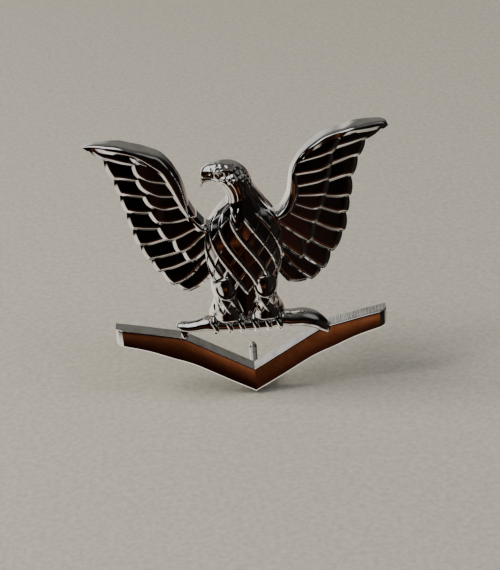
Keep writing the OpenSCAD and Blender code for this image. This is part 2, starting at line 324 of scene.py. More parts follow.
def linear(code: str) -> tuple[float, float, float, float]:
    """Linear colour of an sRGB hex value, by the sRGB transfer curve.

    Args:
        code: The value, such as #D8B468.

    Returns:
        Red, green, blue and an alpha of 1.
    """
    values = [int(code[k:k + 2], 16) / 255 for k in (1, 3, 5)]
    r, g, b = (v / 12.92 if v <= 0.04045 else ((v + 0.055) / 1.055) ** 2.4 for v in values)
    return (r, g, b, 1.0)


def add_node(tree: bpy.types.NodeTree, kind: str, settings: dict | None = None,
             inputs: dict | None = None, links: dict | None = None) -> bpy.types.Node:
    """Adds a node with its settings, values and incoming links.

    Args:
        tree: Node tree.
        kind: Blender's name of the node type.
        settings: Properties of the node.
        inputs: Values of input sockets.
        links: Output sockets that feed the input sockets.

    Returns:
        The node.
    """
    node = tree.nodes.new(kind)
    for key, value in (settings or {}).items():
        setattr(node, key, value)
    for key, value in (inputs or {}).items():
        node.inputs[key].default_value = value
    for key, source in (links or {}).items():
        tree.links.new(source, node.inputs[key])
    return node


@dataclass(frozen=True)
class PlatedMetal:
    """Bright plated metal with faint handling marks.

    Polished plate mirrors its surroundings, and a thin uneven film makes some patches a little
    duller than others. What lies under the plate shows as a slow waviness of the reflections.
    """

    name: str
    colour: str
    film_colour: str
    roughness: float
    film_roughness: float
    film_mm: float = 1.6
    wave_mm: float = 0.9
    wave_height: float = 0.02
    grain: tuple[float, float, float] = (1, 1, 1)

    def make(self) -> bpy.types.Material:
        """Makes the material.

        Returns:
            The material, with its patterns on Object coordinates.
        """
        material = bpy.data.materials.new(self.name)
        material.use_nodes = True
        tree = material.node_tree
        shader = tree.nodes["Principled BSDF"]
        shader.inputs["Metallic"].default_value = 1.0
        place = add_node(tree, "ShaderNodeTexCoord")
        turned = add_node(tree, "ShaderNodeMapping", inputs={"Scale": self.grain},
                          links={"Vector": place.outputs["Object"]})
        film = add_node(tree, "ShaderNodeTexNoise",
                        inputs={"Scale": 1 / (self.film_mm * MM), "Detail": 4.0},
                        links={"Vector": place.outputs["Object"]})
        dull = add_node(tree, "ShaderNodeMapRange",
                        inputs={"From Min": 0.42, "From Max": 0.72, "To Min": self.roughness,
                                "To Max": self.film_roughness},
                        links={"Value": film.outputs["Fac"]})
        ramp = add_node(tree, "ShaderNodeValToRGB", links={"Fac": film.outputs["Fac"]})
        ramp.color_ramp.elements[0].position = 0.45
        ramp.color_ramp.elements[0].color = linear(self.colour)
        ramp.color_ramp.elements[1].position = 0.8
        ramp.color_ramp.elements[1].color = linear(self.film_colour)
        wave = add_node(tree, "ShaderNodeTexNoise",
                        inputs={"Scale": 1 / (self.wave_mm * MM), "Detail": 2.0},
                        links={"Vector": turned.outputs["Vector"]})
        bump = add_node(tree, "ShaderNodeBump",
                        inputs={"Strength": 1.0, "Distance": self.wave_height * MM},
                        links={"Height": wave.outputs["Fac"]})
        tree.links.new(ramp.outputs["Color"], shader.inputs["Base Color"])
        tree.links.new(dull.outputs["Result"], shader.inputs["Roughness"])
        tree.links.new(bump.outputs["Normal"], shader.inputs["Normal"])
        return material


# Chromium over nickel on a die-struck face, buffed: a near mirror, slightly wavy.
CHROME_PLATING = PlatedMetal("chrome_plating", "#E3E2E0", "#C9C4BC", 0.035, 0.11,
                             wave_height=0.006)
# The same plate over the edge that the trimming die sheared: it keeps fine upright score lines.
CHROME_SHEARED_EDGE = PlatedMetal("chrome_sheared_edge", "#D8D7D3", "#B5B0A6", 0.10, 0.24,
                                  wave_mm=0.5, wave_height=0.03, grain=(3.0, 0.15, 0.15))
# Nickelled steel wire, drawn: bright, with faint lines along the post.
NICKELLED_STEEL = PlatedMetal("nickelled_steel_wire", "#CFCDC8", "#ADA79D", 0.12, 0.26,
                              film_mm=0.8, wave_mm=0.2, wave_height=0.004, grain=(1, 0.1, 1))
# Pressed brass sheet, bright dipped: warm yellow with browner patches where it has aged.
PRESSED_BRASS = PlatedMetal("pressed_brass_sheet", "#D8B468", "#A8803C", 0.16, 0.34,
                            film_mm=1.2, wave_mm=0.5, wave_height=0.01)


@dataclass
class Finishes:
    """The materials that the pieces share."""

    chrome: bpy.types.Material = field(default_factory=CHROME_PLATING.make)
    edge: bpy.types.Material = field(default_factory=CHROME_SHEARED_EDGE.make)
    steel: bpy.types.Material = field(default_factory=NICKELLED_STEEL.make)
    brass: bpy.types.Material = field(default_factory=PRESSED_BRASS.make)


# ---- wings ----


def corner_points(start: tuple, end: tuple, bulge: float) -> np.ndarray:
    """Edge from one place to another that stands out by a parabola 4 t (1 - t) in its middle.

    Args:
        start: Where the edge begins.
        end: Where it ends.
        bulge: How far the middle stands out to the left of the way, as a share of the length.

    Returns:
        Rows of places, the end left out.
    """
    a, b = np.array(start, float), np.array(end, float)
    t = np.linspace(0, 1, 16)[:-1, None]
    out = np.array([a[1] - b[1], b[0] - a[0]])
    return a + (b - a) * t + out * bulge * 4 * t * (1 - t)


@dataclass
class Feather:
    """One feather, between its hidden upper line and its outline round the tip.

    Both lines run from the outer end to the root.
    """

    upper: np.ndarray
    outline: np.ndarray
    base: float
    rise: float
    drop: float = 0.45
    chamfer_width: float = 0.55
    least_chamfer: float = 0.3  # where the feather has no width
    chamfer_growth: float = 0.25  # for each millimetre of width
    rise_growth: float = 0.08  # for each millimetre of width
    steepest: float = 0.5

    def front(self) -> np.ndarray:
        """Front surface of the feather.

        A point is (1 - w) outline(u) + w upper(u). Its depth grows evenly towards the outline,
        by a fixed rise and a little for each millimetre of width, and a straight chamfer drops
        from there to the next feather. The chamfer is narrower where the feather is narrow.

        Returns:
            Grid of points.
        """
        wide = np.linalg.norm(self.outline - self.upper, axis=1)[:, None]
        w = near_edge(1.0, 26, 0.1)[None, :]
        place = self.outline[:, None] * (1 - w[..., None]) + self.upper[:, None] * w[..., None]
        edge = distance_to(self.outline, place)
        chamfer_width = np.minimum(self.chamfer_width,
                                   self.least_chamfer + self.chamfer_growth * wide)
        step = self.drop * (1 - chamfer(edge / chamfer_width))
        rise = np.minimum(self.rise + self.rise_growth * wide, self.steepest * wide)
        depth = self.base + rise * (1 - w) - step
        return np.stack([place[..., 0], -depth, place[..., 1]], -1)


@dataclass
class Wing:
    """One spread wing: long feathers, short feathers and a rolled leading edge.

    The lines run from the outer end to the inner end, in millimetres across and up from the
    drawings' zero, and they are stretched across to the reach of the CAD wing.
    """

    side: Side
    node: str
    quill_lines: list
    cover_lines: list
    edge: list
    ridge: list
    plate: float = 1.45  # depth of the long feathers' upper edges
    quill_rise: float = 0.26
    cover_floor: float = 2.05  # depth of the short feathers' upper edges
    cover_rise: float = 0.14
    wall: float = 1.3  # depth at the outer foot of the leading edge
    crest: float = 2.6
    edge_radius: float = 0.5
    edge_full_width: float = 0.9  # width from which the leading edge has its full height
    edge_fall: float = 0.28  # for each millimetre outside the flat beside the inner line
    edge_flat: float = 0.25
    edge_chamfer: float = 0.6
    tip_bulge: float = 0.09
    tuck: float = 0.3  # how far a feather reaches under the one above it
    tuck_start: float = 0.12  # share of the length over which the tuck grows from the tip
    inset: float = 0.25  # how far inside the corner of the one above it a feather starts
    back_step: float = 0.03  # between the flat backs of overlapping layers
    thin_from: float = 13.0  # distance from the middle at which the wing starts to thin
    thin_at: float = 19.5
    thin_share: float = 0.45
    feather_steps: int = 90
    edge_steps: int = 130

    def __post_init__(self) -> None:
        """Finds the stretch that brings the drawing onto the CAD wing's box."""
        low, high = (np.array(c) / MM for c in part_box(self.node))
        self.reach = high[0] if self.side is Side.RIGHT else low[0]
        drawn = np.array(self.edge)[:, 0]
        self.stretch = self.reach / drawn[np.argmax(np.abs(drawn))]

    def placed(self, points: list, count: int) -> np.ndarray:
        """Smooth line through drawing points, in the row's frame.

        Args:
            points: Drawing points.
            count: How many samples.

        Returns:
            Rows of places.
        """
        line = smooth_line(raised(points), count)
        line[:, 0] *= self.stretch
        return line

    def thinned(self, grid: np.ndarray) -> np.ndarray:
        """Front whose depth shrinks towards the wing tip, by a smooth step of the reach.

        Args:
            grid: Grid of points.

        Returns:
            The thinned grid.
        """
        t = (np.abs(grid[..., 0]) - self.thin_from) / (self.thin_at - self.thin_from)
        t = np.clip(t, 0, 1)
        grid = grid.copy()
        grid[..., 1] *= 1 - self.thin_share * t * t * (3 - 2 * t)
        return grid

    def quills(self, shell: Shell) -> None:
        """Adds one long feather below each line but the last, with its tip between two lines.

        Args:
            shell: Mesh to add to.
        """
        for k, (above, below) in enumerate(zip(self.quill_lines, self.quill_lines[1:])):
            start = (above[0][0] - self.inset * self.side.value, above[0][1])
            above = [start, *above[1:]]
            tip = corner_points(start, below[0], self.tip_bulge * self.side.value)
            line = np.concatenate([np.array(raised(tip.tolist())) * (self.stretch, 1),
                                   self.placed(below, 60)])
            self.feather(shell, above, line, self.plate, self.quill_rise, k % 2)

    def covers(self, shell: Shell) -> None:
        """Adds one short feather for each line but the first, which is its outline.

        Args:
            shell: Mesh to add to.
        """
        for k, (above, below) in enumerate(zip(self.cover_lines, self.cover_lines[1:])):
            hidden = [below[0], *above[2:]] if above is not self.cover_lines[0] else above
            line = self.placed(below, self.feather_steps)
            self.feather(shell, hidden, line, self.cover_floor, self.cover_rise, 2 + k % 2)

    def feather(self, shell: Shell, above: list, line: np.ndarray, base: float,
                rise: float, layer: int) -> None:
        """Adds one feather.

        Args:
            shell: Mesh to add to.
            above: Line above the feather, which is moved up to lie under the next feather.
            line: Outline, with a corner at the tip that is softened here.
            base: Depth of the upper edge in front of the back.
            rise: How much further forward the outline stands.
            layer: Steps by which the flat back lies in front of the plane y = 0, so that no
                two backs lie in one plane where feathers overlap.
        """
        outline = softened(even_steps(line, self.feather_steps), 7)
        upper = self.placed(above, self.feather_steps)
        along = np.linspace(0, 1 / self.tuck_start, self.feather_steps)
        upper[:, 1] += self.tuck * np.clip(along, 0, 1)
        front = self.thinned(Feather(upper, outline, base, rise).front())
        shell.relief(front, -self.back_step * layer)

    def leading_edge(self, shell: Shell) -> None:
        """Adds the rolled leading edge.

        Across the roll, the depth rises from the wall as a quarter circle, grows slowly to the
        crest, and drops by a chamfer that is centred on the inner line.

        Args:
            shell: Mesh to add to.
        """
        outer = self.placed(self.edge, self.edge_steps)
        inner = self.placed(self.ridge, self.edge_steps)
        half = self.edge_chamfer / 2
        width = distance_to(inner, outer)[:, None]
        beyond = half / np.maximum(width, half)
        q = np.concatenate([near_edge(0.45, 14, 0.06), 1 - near_edge(0.55, 26, 0.6)[::-1]])
        share = q[None, :] * (1 + beyond)
        place = outer[:, None] * (1 - share[..., None]) + inner[:, None] * share[..., None]
        left = distance_to(inner, place) * np.where(share < 1, 1, -1)
        radius = np.minimum(self.edge_radius, 0.42 * width) + 1e-6
        full = np.minimum(1, width / self.edge_full_width)
        roll = self.wall + (self.crest - self.wall) * full * round_over(
            distance_to(outer, place), radius)
        roll = roll - self.edge_fall * np.clip(left - self.edge_flat, 0, 1.0)
        floor = self.cover_floor
        depth = floor + (roll - floor) * chamfer((left + half) / self.edge_chamfer)
        front = self.thinned(np.stack([place[..., 0], -depth, place[..., 1]], -1))
        shell.relief(front, -4 * self.back_step)

    def build(self, finishes: Finishes) -> bpy.types.Object:
        """Makes the wing.

        Args:
            finishes: Shared materials.

        Returns:
            The wing, which stands for its CAD node.
        """
        shell = Shell()
        self.quills(shell)
        self.covers(shell)
        self.leading_edge(shell)
        wing = shell.build(f"{self.node}_feathers", BODY, "chrome_plate", [finishes.chrome])
        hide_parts(self.node)
        return wing


def left_wing() -> Wing:
    """The left wing, whose feathers lie close to level."""
    return Wing(
        Side.LEFT, "left_wing",
        quill_lines=[
            [(-19.45, 17.7), (-17.4, 17.25), (-14.0, 16.6)],
            [(-17.46, 15.9), (-15.48, 15.33), (-13.74, 14.91), (-12.3, 14.5)],
            [(-16.35, 13.12), (-15.08, 12.97), (-13.57, 12.63), (-12.0, 12.2)],
            [(-15.8, 10.94), (-14.29, 10.56), (-12.77, 10.29), (-11.3, 10.0)],
            [(-15.15, 8.45), (-13.5, 8.05), (-12.22, 7.94), (-10.6, 7.9)],
            [(-14.62, 5.95), (-12.82, 5.67), (-11.27, 5.53), (-9.6, 5.6)],
            [(-13.94, 3.55), (-12.38, 3.43), (-9.98, 3.96), (-8.82, 3.86), (-7.0, 4.3)],
            [(-12.72, 1.22), (-10.59, 1.51), (-7.92, 2.16), (-6.97, 2.52), (-5.56, 3.87),
             (-4.4, 4.6)],
            [(-11.58, -0.66), (-9.43, -0.23), (-7.81, 0.38), (-6.58, 0.86), (-5.32, 1.94),
             (-4.2, 2.8)],
            [(-9.79, -2.77), (-8.29, -2.27), (-6.88, -1.2), (-5.73, 0.05), (-4.2, 1.3)],
            [(-7.76, -3.88), (-6.4, -3.2), (-5.0, -2.0), (-4.0, -1.0)]],
        cover_lines=[
            [(-14.06, 16.7), (-12.47, 15.96), (-11.29, 15.02), (-10.12, 14.3)],
            [(-14.06, 16.66), (-13.4, 15.62), (-12.57, 14.99), (-11.35, 14.47), (-10.1, 14.15),
             (-9.2, 13.9)],
            [(-13.71, 15.09), (-13.44, 13.94), (-12.75, 13.18), (-11.53, 12.51), (-9.02, 12.01),
             (-8.0, 11.9)],
            [(-13.42, 12.81), (-12.88, 11.77), (-11.69, 10.82), (-10.45, 10.28), (-8.28, 10.1),
             (-7.3, 10.0)],
            [(-12.75, 10.48), (-12.2, 9.43), (-11.23, 8.77), (-9.98, 8.38), (-7.89, 8.63),
             (-6.9, 8.8)],
            [(-12.2, 8.14), (-11.4, 6.91), (-10.15, 6.51), (-8.59, 6.52), (-7.14, 6.83),
             (-6.0, 7.1)],
            [(-11.25, 5.74), (-10.58, 4.51), (-9.72, 4.0), (-8.39, 4.32), (-7.04, 4.94),
             (-5.96, 5.43), (-4.9, 5.9)],
            [(-9.5, 4.0), (-9.15, 2.7), (-8.4, 2.15), (-6.97, 2.75), (-5.56, 3.95),
             (-4.4, 4.8)],
            [(-8.3, 2.1), (-7.75, 1.0), (-7.0, 0.75), (-5.9, 1.5), (-5.0, 2.3), (-4.2, 3.0)]],
        edge=[(-19.75, 17.77), (-18.7, 18.03), (-17.41, 18.13), (-16.14, 18.16),
              (-14.87, 18.05), (-13.63, 17.67), (-12.39, 17.29), (-11.16, 16.76), (-9.94, 16.1),
              (-8.78, 14.73), (-8.01, 13.25), (-7.58, 12.22), (-7.19, 10.75), (-6.92, 9.29),
              (-6.76, 8.12), (-6.19, 7.06), (-5.59, 6.42), (-4.72, 5.91), (-4.0, 5.7)],
        ridge=[(-19.7, 17.74), (-17.4, 17.35), (-14.04, 16.75), (-12.47, 15.96),
               (-11.29, 15.02), (-10.12, 14.0), (-9.57, 13.0), (-9.03, 11.82), (-8.51, 10.5),
               (-7.98, 9.16), (-7.43, 7.96), (-6.88, 6.91), (-6.31, 5.9), (-5.71, 5.35),
               (-4.81, 5.13), (-4.0, 5.0)])


def right_wing() -> Wing:
    """The right wing, whose lower feathers hang steeper than the left wing's."""
    return Wing(
        Side.RIGHT, "right_wing",
        quill_lines=[
            [(19.1, 17.9), (16.8, 17.5), (13.5, 16.9)],
            [(16.54, 16.08), (14.86, 15.71), (13.06, 15.3), (11.4, 14.9)],
            [(15.44, 13.93), (14.14, 13.67), (12.45, 13.11), (10.8, 12.6)],
            [(14.43, 11.22), (13.13, 11.07), (11.57, 10.63), (10.0, 10.3)],
            [(14.06, 8.4), (12.62, 8.26), (11.08, 8.39), (9.5, 8.6)],
            [(13.57, 6.13), (12.26, 5.98), (10.73, 6.54), (9.0, 7.2)],
            [(13.07, 3.4), (11.5, 3.57), (9.47, 4.62), (7.8, 5.5)],
            [(11.37, 0.46), (9.7, 1.37), (8.19, 2.53), (6.56, 3.85), (5.19, 4.99),
             (4.2, 5.8)],
            [(10.07, -1.98), (8.66, -1.06), (7.28, 0.25), (6.03, 1.4), (4.92, 2.52),
             (4.0, 3.5)],
            [(8.3, -3.45), (6.5, -1.92), (5.51, -0.79), (5.03, 0.0), (4.2, 1.2)],
            [(5.2, -3.4), (4.7, -2.7), (4.2, -2.0), (3.6, -1.0)]],
        cover_lines=[
            [(13.1, 16.75), (11.71, 16.5), (10.41, 15.8), (9.1, 15.0), (8.2, 14.2)],
            [(13.08, 16.59), (12.26, 15.13), (10.95, 14.4), (8.49, 13.77), (7.4, 13.5)],
            [(12.1, 14.45), (11.78, 13.21), (10.46, 12.33), (7.89, 11.99), (6.9, 11.9)],
            [(11.76, 12.65), (11.31, 11.27), (10.13, 10.66), (7.8, 10.29), (6.8, 10.2)],
            [(11.43, 10.98), (10.95, 9.17), (10.04, 8.82), (7.59, 8.88), (6.4, 9.0)],
            [(10.94, 8.88), (10.22, 7.22), (8.91, 6.9), (6.88, 7.65), (5.6, 8.2)],
            [(10.2, 6.79), (9.34, 5.12), (7.92, 5.39), (6.16, 6.41), (4.9, 7.2)],
            [(9.31, 4.55), (9.0, 3.1), (8.3, 2.3), (7.5, 2.8), (6.4, 3.7), (5.1, 4.75),
             (4.2, 5.5)],
            [(7.9, 2.47), (7.9, 1.1), (7.2, 0.1), (6.0, 1.0), (4.9, 2.05), (3.9, 3.1)]],
        edge=[(19.25, 17.6), (18.95, 18.14), (18.33, 18.47), (17.05, 18.57), (15.78, 18.54),
              (14.5, 18.37), (13.2, 17.92), (11.91, 17.62), (10.61, 17.17), (9.29, 16.3),
              (8.34, 15.4), (7.52, 14.48), (6.52, 12.73), (6.18, 11.33), (5.97, 9.92),
              (5.66, 8.94), (5.07, 7.83), (4.1, 6.9), (3.5, 6.6)],
        ridge=[(19.2, 17.6), (18.0, 17.68), (16.82, 17.6), (14.54, 17.6), (13.0, 17.3),
               (11.71, 16.9), (10.41, 16.22), (9.1, 15.49), (8.16, 14.59), (7.6, 13.66),
               (7.27, 12.28), (7.19, 10.87), (7.11, 9.45), (6.65, 8.05), (6.08, 7.09),
               (5.26, 6.44), (4.4, 6.1), (3.6, 5.9)])


# ---- eagle ----


def hose(path: list, rings: int, sides: int, oval: float = 1.0) -> np.ndarray:
    """Rings of an oval carried square to a smooth path.

    Args:
        path: Places, each across, up, depth (negative in front) and radius.
        rings: How many rings.
        sides: Points on a ring.
        oval: Width of the oval from front to back over its other width.

    Returns:
        Grid of points.
    """
    line = cubic_through(raised(path), np.linspace(0, len(path) - 1, rings))
    centre = line[:, [0, 2, 1]]
    along = np.gradient(centre, axis=0)
    along /= np.linalg.norm(along, axis=1, keepdims=True)
    up = np.cross(along, [0.0, 1.0, 0.0])
    up /= np.linalg.norm(up, axis=1, keepdims=True)
    front = np.cross(up, along)
    b = np.linspace(0, 2 * math.pi, sides, endpoint=False)[None, :, None]
    ring = front[:, None] * np.cos(b) * oval + up[:, None] * np.sin(b)
    return centre[:, None] + ring * line[:, 3][:, None, None]


def mound(grid: np.ndarray, cx: float, cz: float, rx: float, rz: float,
          tilt: float = 0.0) -> np.ndarray:
    """Smooth mound over a place: a Gaussian of the two distances from it, turned by a tilt.

    Args:
        grid: Grid of points.
        cx: Middle across.
        cz: Middle up from the drawings' zero.
        rx: Distance along the mound at which it has fallen to 1/e.
        rz: The same across it.
        tilt: Turn of the mound, in radians.

    Returns:
        Grid of heights from 0 to 1.
    """
    x, z = grid[..., 0] - cx, grid[..., 2] - POST_Z - cz
    c, s = math.cos(tilt), math.sin(tilt)
    u, v = x * c + z * s, z * c - x * s
    return np.exp(-((u / rx) ** 2 + (v / rz) ** 2))


def crossing_lines(turn: np.ndarray, rise: np.ndarray, spacing: float, thick: tuple,
                   thin: tuple) -> np.ndarray:
    """Height of two families of raised lines that cross each other.

    The lines of the first family lie where turn - rise is a whole number, and those of the
    second where turn + rise is one.

    Args:
        turn: Number that grows round the piece.
        rise: Number that grows up the piece.
        spacing: Distance between two parallel lines.
        thick: Height and half width of the first family, which runs down to the right.
        thin: The same of the second family.

    Returns:
        Grid of heights.
    """
    height = np.zeros_like(turn - rise)
    for family, (line, half_width) in ((turn - rise, thick), (turn + rise, thin)):
        off = np.abs(family - np.round(family)) * spacing
        height = np.maximum(height, line * bead(off, 0, half_width))
    return height


@dataclass
class EagleBody:
    """Trunk, neck and head in one skin, with the legs and talons on it."""

    right_rail: list = field(default_factory=lambda: [
        (0.3, -8.3), (1.6, -6.5), (3.0, -3.6), (4.2, -0.6), (4.75, 2.2), (4.8, 4.4),
        (4.55, 6.3), (4.0, 7.8), (3.1, 9.0), (2.3, 10.2), (1.75, 11.3), (1.35, 12.4),
        (0.85, 13.5), (0.05, 14.4), (-1.0, 15.0), (-2.2, 15.15), (-3.3, 15.08), (-4.2, 14.9),
        (-4.85, 14.3), (-5.08, 13.2), (-5.06, 12.0)])
    left_rail: list = field(default_factory=lambda: [
        (-1.5, -8.3), (-2.6, -6.5), (-3.9, -3.6), (-4.8, -0.6), (-5.2, 2.2), (-5.2, 4.2),
        (-4.9, 5.9), (-4.3, 7.1), (-3.4, 8.15), (-2.6, 8.95), (-2.0, 9.5), (-1.82, 10.2),
        (-1.95, 10.9), (-2.2, 11.5), (-2.55, 12.0), (-2.95, 12.3), (-3.45, 12.5),
        (-4.0, 12.63), (-4.5, 12.6), (-4.85, 12.35), (-5.03, 11.95)])
    # Depth of the front, of the widest line and of the back, at each place of the rails
    depths: list = field(default_factory=lambda: [
        (2.9, 0.8, 0.0), (3.4, 1.4, 0.0), (4.1, 2.8, 0.0), (4.75, 3.5, 0.0), (5.1, 3.8, 0.0),
        (5.3, 3.8, 0.0), (5.25, 3.5, 0.0), (5.1, 2.9, 0.0), (4.9, 2.5, 0.0), (4.6, 2.4, 0.0),
        (4.4, 2.4, 0.2), (4.5, 2.5, 0.5), (4.5, 2.6, 0.7), (4.4, 2.7, 0.9), (4.2, 2.7, 1.1),
        (3.9, 2.7, 1.4), (3.7, 2.7, 1.7), (3.55, 2.7, 1.9), (3.4, 2.7, 2.1), (3.2, 2.7, 2.25),
        (2.9, 2.7, 2.5)])
    # Radius, height and depth of the front, down a leg
    leg_profile: list = field(default_factory=lambda: [
        (0.05, -0.5, 3.9), (1.0, -0.7, 4.5), (1.6, -1.3, 4.9), (1.9, -2.3, 5.0),
        (1.95, -3.2, 4.85), (1.75, -4.3, 4.55), (1.75, -5.2, 4.35), (2.1, -6.2, 4.25),
        (2.45, -7.0, 4.15), (2.5, -7.6, 3.95), (2.1, -8.2, 3.2)])
    leg_places: tuple[float, ...] = (-2.95, 2.1)
    leg_depth: float = 1.5  # of the middle line of a leg
    claw_places: tuple[float, ...] = (-4.8, -2.94, -1.34, 0.52, 2.2, 3.66)
    stations: int = 300
    arch: int = 150
    lattice_pitch: float = 0.5  # angle between two feather lines round the breast
    lattice_rise: float = 3.75  # height between two feather lines
    lattice_spacing: float = 2.08  # distance between two parallel feather lines
    lattice_zero: tuple[float, float] = (0.058, 4.36)

    def skin(self) -> tuple[np.ndarray, np.ndarray, np.ndarray]:
        """Plain skin of the trunk and head, before its feathers are raised.

        Each ring is an oval between a place on the left rail and its partner on the right
        rail: half the distance times cos(a) across, and a power of sin(a) forwards or back.
        The power is greater on the breast, which makes its flanks fuller, than on the head.

        Returns:
            The grid of the front, the angle of each column and the closing back points.
        """
        t = np.linspace(0, len(self.depths) - 1, self.stations)
        right = cubic_through(raised(self.right_rail), t)
        left = cubic_through(raised(self.left_rail), t)
        depth = cubic_through(self.depths, t)
        a = np.linspace(0, math.pi, self.arch)
        middle, half = (left + right) / 2, (right - left) / 2
        across = middle[:, None] + half[:, None] * np.cos(a)[None, :, None]
        front, side, back = depth[:, 0:1], depth[:, 1:2], depth[:, 2:3].clip(0.02)
        power = np.interp(t, (6, 11), (1.8, 0.85))[:, None]
        y = -(side + (front - side) * np.sin(a)[None, :] ** power)
        grid = np.stack([across[..., 0], y, across[..., 1]], -1)
        b = np.linspace(math.pi, 0, 32)[1:-1]
        behind = middle[:, None] + half[:, None] * np.cos(b)[None, :, None]
        y_back = -(side + (back - side) * np.sin(b)[None, :] ** 0.35)
        return grid, a, np.stack([behind[..., 0], y_back, behind[..., 1]], -1)

    def plumage(self, grid: np.ndarray, a: np.ndarray) -> np.ndarray:
        """Height of the raised feather lines over the breast.

        The lines lie where angle / pitch + height / rise and angle / pitch - height / rise are
        whole numbers, so they bend with the breast.

        Args:
            grid: Front of the trunk.
            a: Angle of each column.

        Returns:
            Height above the skin, in millimetres.
        """
        z = grid[..., 2] - POST_Z
        angle = a[None, :] - math.pi / 2 + self.lattice_zero[0]
        turn = angle / self.lattice_pitch
        rise = (z - self.lattice_zero[1] - 0.4 * angle) / self.lattice_rise
        height = crossing_lines(turn, rise, self.lattice_spacing, (0.27, 0.32), (0.12, 0.16))
        fade = fade_between(z, (-3.4, 0.8), (8.5, 1.2))
        return height * fade * np.clip((np.sin(a)[None, :] - 0.14) / 0.12, 0, 1)

    def neck_locks(self, grid: np.ndarray, a: np.ndarray) -> np.ndarray:
        """Height of the long locks of the neck: ridges that run up it and fade at both ends.

        Args:
            grid: Front of the trunk.
            a: Angle of each column.

        Returns:
            Height above the skin, in millimetres.
        """
        z = grid[..., 2] - POST_Z
        ridges = np.abs(np.sin((a[None, :] + 0.04 * z) * 5.6)) ** 0.8
        return 0.09 * ridges * fade_between(z, (8.2, 1.6), (13.4, 1.2))

    def throat(self, grid: np.ndarray) -> np.ndarray:
        """Height of the V-shaped feather at the foot of the throat: two joined rims.

        Args:
            grid: Front of the trunk.

        Returns:
            Height above the skin, in millimetres.
        """
        x, z = grid[..., 0], grid[..., 2] - POST_Z
        away = np.abs(x + 1.0)
        off = (z - 7.9) - away * 2.6
        return 0.12 * bead(off / 2.8, 0, 0.22) * np.clip((9.4 - z) / 0.6, 0, 1)

    def face(self, grid: np.ndarray) -> np.ndarray:
        """Height of the brow, eye, cheek, beak line and crown feathers on the head's front.

        Args:
            grid: Front of the trunk.

        Returns:
            Height above the skin, in millimetres, negative in a hollow.
        """
        brow = 0.36 * mound(grid, -2.3, 14.35, 1.15, 0.25, 0.1)
        socket = -0.3 * mound(grid, -1.9, 13.85, 0.6, 0.3)
        eye = 0.3 * mound(grid, -1.85, 13.85, 0.24, 0.22)
        cheek = 0.2 * mound(grid, -0.75, 13.1, 0.7, 0.5, -0.3)
        gape = -0.2 * mound(grid, -3.4, 13.2, 1.0, 0.1, -0.1)
        cere = -0.16 * mound(grid, -3.45, 14.0, 0.12, 0.6, 0.1)
        nostril = -0.12 * mound(grid, -3.9, 13.9, 0.14, 0.09)
        x, z = grid[..., 0], grid[..., 2] - POST_Z
        scales = np.abs(np.sin(4.2 * x + 2.0 * z) * np.sin(4.6 * z - 1.5 * x))
        crown = 0.1 * scales * np.clip((z - 12.2) / 1.0, 0, 1) * np.clip((x + 3.6) / 0.5, 0, 1)
        return brow + socket + eye + cheek + gape + cere + nostril + crown

    def trunk(self, shell: Shell) -> None:
        """Adds the trunk and head with its raised feathers.

        Args:
            shell: Mesh to add to.
        """
        grid, a, closing = self.skin()
        normals = surface_normals(grid)
        if normals[self.stations // 3, self.arch // 2, 1] > 0:
            normals = -normals
        height = (self.plumage(grid, a) + self.neck_locks(grid, a) + self.throat(grid)
                  + self.face(grid))
        edge = np.clip(np.sin(a)[None, :] / 0.1, 0, 1)
        front = grid + normals * (height * edge)[..., None]
        shell.tube(np.concatenate([front, closing], 1))

    def leg(self, shell: Shell, x: float) -> None:
        """Adds one feathered leg, which swells to the thigh above and to the foot below.

        Each ring is round, with its front pushed out to the depth of the drawing. A ring of
        small feathers stands round the thigh, and two families of lines cross below it.

        Args:
            shell: Mesh to add to.
            x: Middle of the leg, in millimetres from the drawings' zero.
        """
        down = np.linspace(0, len(self.leg_profile) - 1, 130)
        profile = cubic_through(raised(self.leg_profile), down)
        angle = np.linspace(0, 2 * math.pi, 110, endpoint=False)[None, :]
        r, front = profile[:, 0:1], profile[:, 2:3]
        px = x + r * np.cos(angle)
        py = -self.leg_depth - (front - self.leg_depth) * np.sin(angle).clip(-0.6, 1)
        rings = np.stack([px, py, np.broadcast_to(profile[:, 1:2], px.shape)], -1)
        z = rings[..., 2] - POST_Z
        facing = np.clip((np.sin(angle) - 0.2) / 0.2, 0, 1)
        around = np.hypot(px - x - 0.1, z + 2.2)
        lines = 0.2 * bead(around, 1.35, 0.26) * facing
        turn, rise = (angle - math.pi / 2) / 0.62, z / 2.7
        feathers = crossing_lines(turn, rise, 1.1, (0.2, 0.22), (0.1, 0.13)) * facing
        lines = np.maximum(lines, feathers * fade_between(z, (-6.3, 0.6), (-3.5, 0.4)))
        out = surface_normals(np.concatenate([rings, rings[:, :1]], 1))[:, :-1]
        if out[60, 27, 1] > 0:
            out = -out
        shell.tube(rings + out * lines[..., None])

    def toe(self, shell: Shell, x: float) -> None:
        """Adds the cuff at the end of one toe, and the hooked claw that leaves it.

        Args:
            shell: Mesh to add to.
            x: Where the claw crosses the rod.
        """
        shell.tube(hose([
            (x, -7.0, -3.0, 0.4), (x, -7.7, -3.2, 0.58), (x, -8.0, -3.25, 0.62),
            (x, -8.12, -3.27, 0.58), (x, -8.18, -3.28, 0.42), (x, -8.2, -3.28, 0.1)], 36, 22))
        shell.tube(hose([
            (x - 0.1, -7.9, -3.6, 0.36), (x + 0.12, -8.35, -3.75, 0.38),
            (x + 0.24, -8.75, -3.65, 0.36), (x + 0.18, -9.15, -3.35, 0.3),
            (x, -9.6, -2.9, 0.22), (x - 0.12, -9.85, -2.5, 0.1)], 32, 18))

